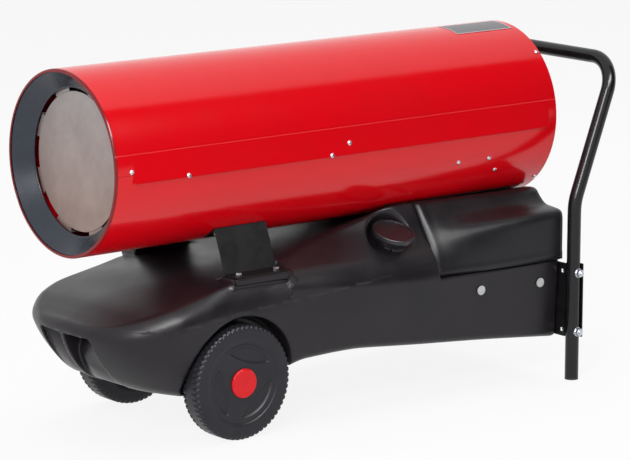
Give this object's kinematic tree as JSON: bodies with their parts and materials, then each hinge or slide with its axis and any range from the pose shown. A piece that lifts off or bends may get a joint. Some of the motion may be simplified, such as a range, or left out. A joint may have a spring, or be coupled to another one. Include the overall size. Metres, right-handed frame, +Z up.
{
  "type": "forced air heater",
  "caption": "Portable direct-fired forced air heater: a tube with burner and fan on a wheeled fuel tank, with a bent tube for legs and handle.",
  "frame": {"origin": "on the floor, under the middle of the heater's box", "axes": "+Z up, warm air leaves towards -X, the handle is at +X, the controls and filler are on the left at -Y"},
  "size_m": [1.0966, 0.4732, 0.6409],
  "materials": {
    "red_shell": "gloss red powder coat",
    "cone_coat": "satin blue-grey coat",
    "heated_steel": "heat-tinted steel sheet",
    "tank_plastic": "moulded satin charcoal",
    "cover_plastic": "moulded satin charcoal",
    "black_coat": "gloss black powder coat",
    "bracket_coat": "satin black coat",
    "wheel_plastic": "moulded satin dark grey",
    "hub_red": "gloss red",
    "cap_plastic": "black",
    "control_plastic": "black",
    "zinc": "bright zinc",
    "plug_plastic": "light grey",
    "foot_rubber": "black",
    "hose_rubber": "black",
    "lead_rubber": "dark red",
    "brass": "machined",
    "cast_aluminium": "die cast",
    "motor_coat": "satin dark grey",
    "rotor_iron": "laminated",
    "fan_metal": "pressed",
    "part_plastic": "black",
    "electrode_ceramic": "glazed white",
    "electrode_wire": "heat-resistant wire",
    "button_red": "gloss red",
    "lamp_amber": "clear amber",
    "board_green": "printed board",
    "plate_silver": "matt silver, blank"
  },
  "bodies": {
    "heater": {"air_swirler": "heated_steel", "axle": "zinc", "axle_clamps": "zinc", "axle_washers": "zinc", "bracket_bolts": "zinc", "burner_head": "heated_steel", "cable_gland": "control_plastic", "chamber_brackets": "heated_steel", "combustion_chamber": "heated_steel", "control_board": "board_green", "control_cover": "cover_plastic", "control_panel": "cover_plastic", "data_plate": "plate_silver", "electrode_insulators": "electrode_ceramic", "electrodes": "electrode_wire", "filler_strainer": "part_plastic", "flame_sensor": "part_plastic", "front_disc": "heated_steel", "fuel_hoses": "hose_rubber", "fuel_nozzle": "brass", "fuel_pump": "cast_aluminium", "fuel_tank": "tank_plastic", "handle_frame": "black_coat", "ignition_leads": "lead_rubber", "ignition_transformer": "part_plastic", "indicator_lamp": "lamp_amber", "leg_bolts": "zinc", "leg_feet": "foot_rubber", "leg_plates": "bracket_coat", "lower_shell": "red_shell", "motor_bearings": "zinc", "motor_body": "motor_coat", "motor_capacitor": "part_plastic", "motor_carrier": "bracket_coat", "motor_shields": "cast_aluminium", "nozzle_holder": "brass", "outlet_cone": "cone_coat", "rear_guard": "bracket_coat", "rear_saddle": "bracket_coat", "saddle_bracket_left": "bracket_coat", "saddle_bracket_right": "bracket_coat", "shell_screws": "zinc", "solenoid_valve": "part_plastic", "tank_pipes": "brass", "tank_plugs": "plug_plastic", "thermostat_socket": "control_plastic", "upper_shell": "red_shell"},
    "left_wheel": {"wheel_left": "wheel_plastic", "hub_cap_left": "hub_red"},
    "right_wheel": {"wheel_right": "wheel_plastic", "hub_cap_right": "hub_red"},
    "rotor": {"rotor_shaft": "zinc", "rotor_core": "rotor_iron", "fan": "fan_metal", "pump_coupling": "part_plastic"},
    "lifted_seal": {"cap_gasket": "hose_rubber"},
    "filler_cap": {"fuel_cap": "cap_plastic"},
    "knob": {"switch_knob": "control_plastic"},
    "button": {"reset_button": "button_red"},
    "socket_lid": {"socket_cap": "control_plastic"}
  },
  "joints": [
    {"name": "left_wheel_spin", "type": "hinge", "parent": "heater", "child": "left_wheel", "pos_m": [-0.29532, -0.157, 0.1], "axis": [0, 1, 0], "continuous": true},
    {"name": "right_wheel_spin", "type": "hinge", "parent": "heater", "child": "right_wheel", "pos_m": [-0.29532, 0.157, 0.1], "axis": [0, 1, 0], "continuous": true},
    {"name": "rotor_spin", "type": "hinge", "parent": "heater", "child": "rotor", "pos_m": [0.35968, 0, 0.48], "axis": [1, 0, 0], "continuous": true},
    {"name": "cap_lift", "type": "slide", "parent": "heater", "child": "lifted_seal", "axis": [0, -0.3584, 0.9336], "range_m": [0, 0.035]},
    {"name": "cap_turn", "type": "hinge", "parent": "lifted_seal", "child": "filler_cap", "pos_m": [0.06668, -0.14, 0.303], "axis": [0, -0.3584, 0.9336], "range_deg": [0, 90]},
    {"name": "knob_turn", "type": "hinge", "parent": "heater", "child": "knob", "pos_m": [0.42968, -0.16, 0.285], "axis": [1, 0, 0], "range_deg": [-45, 45]},
    {"name": "button_press", "type": "slide", "parent": "heater", "child": "button", "axis": [-1, 0, 0], "range_m": [0, 0.003], "stiffness_N_per_m": 300, "springref_m": -0.002},
    {"name": "socket_lid_turn", "type": "hinge", "parent": "heater", "child": "socket_lid", "pos_m": [0.43558, -0.16, 0.2315], "axis": [0, 1, 0], "range_deg": [0, 100], "stiffness_Nm_per_rad": 0.006, "springref_deg": -22.92}
  ]
}
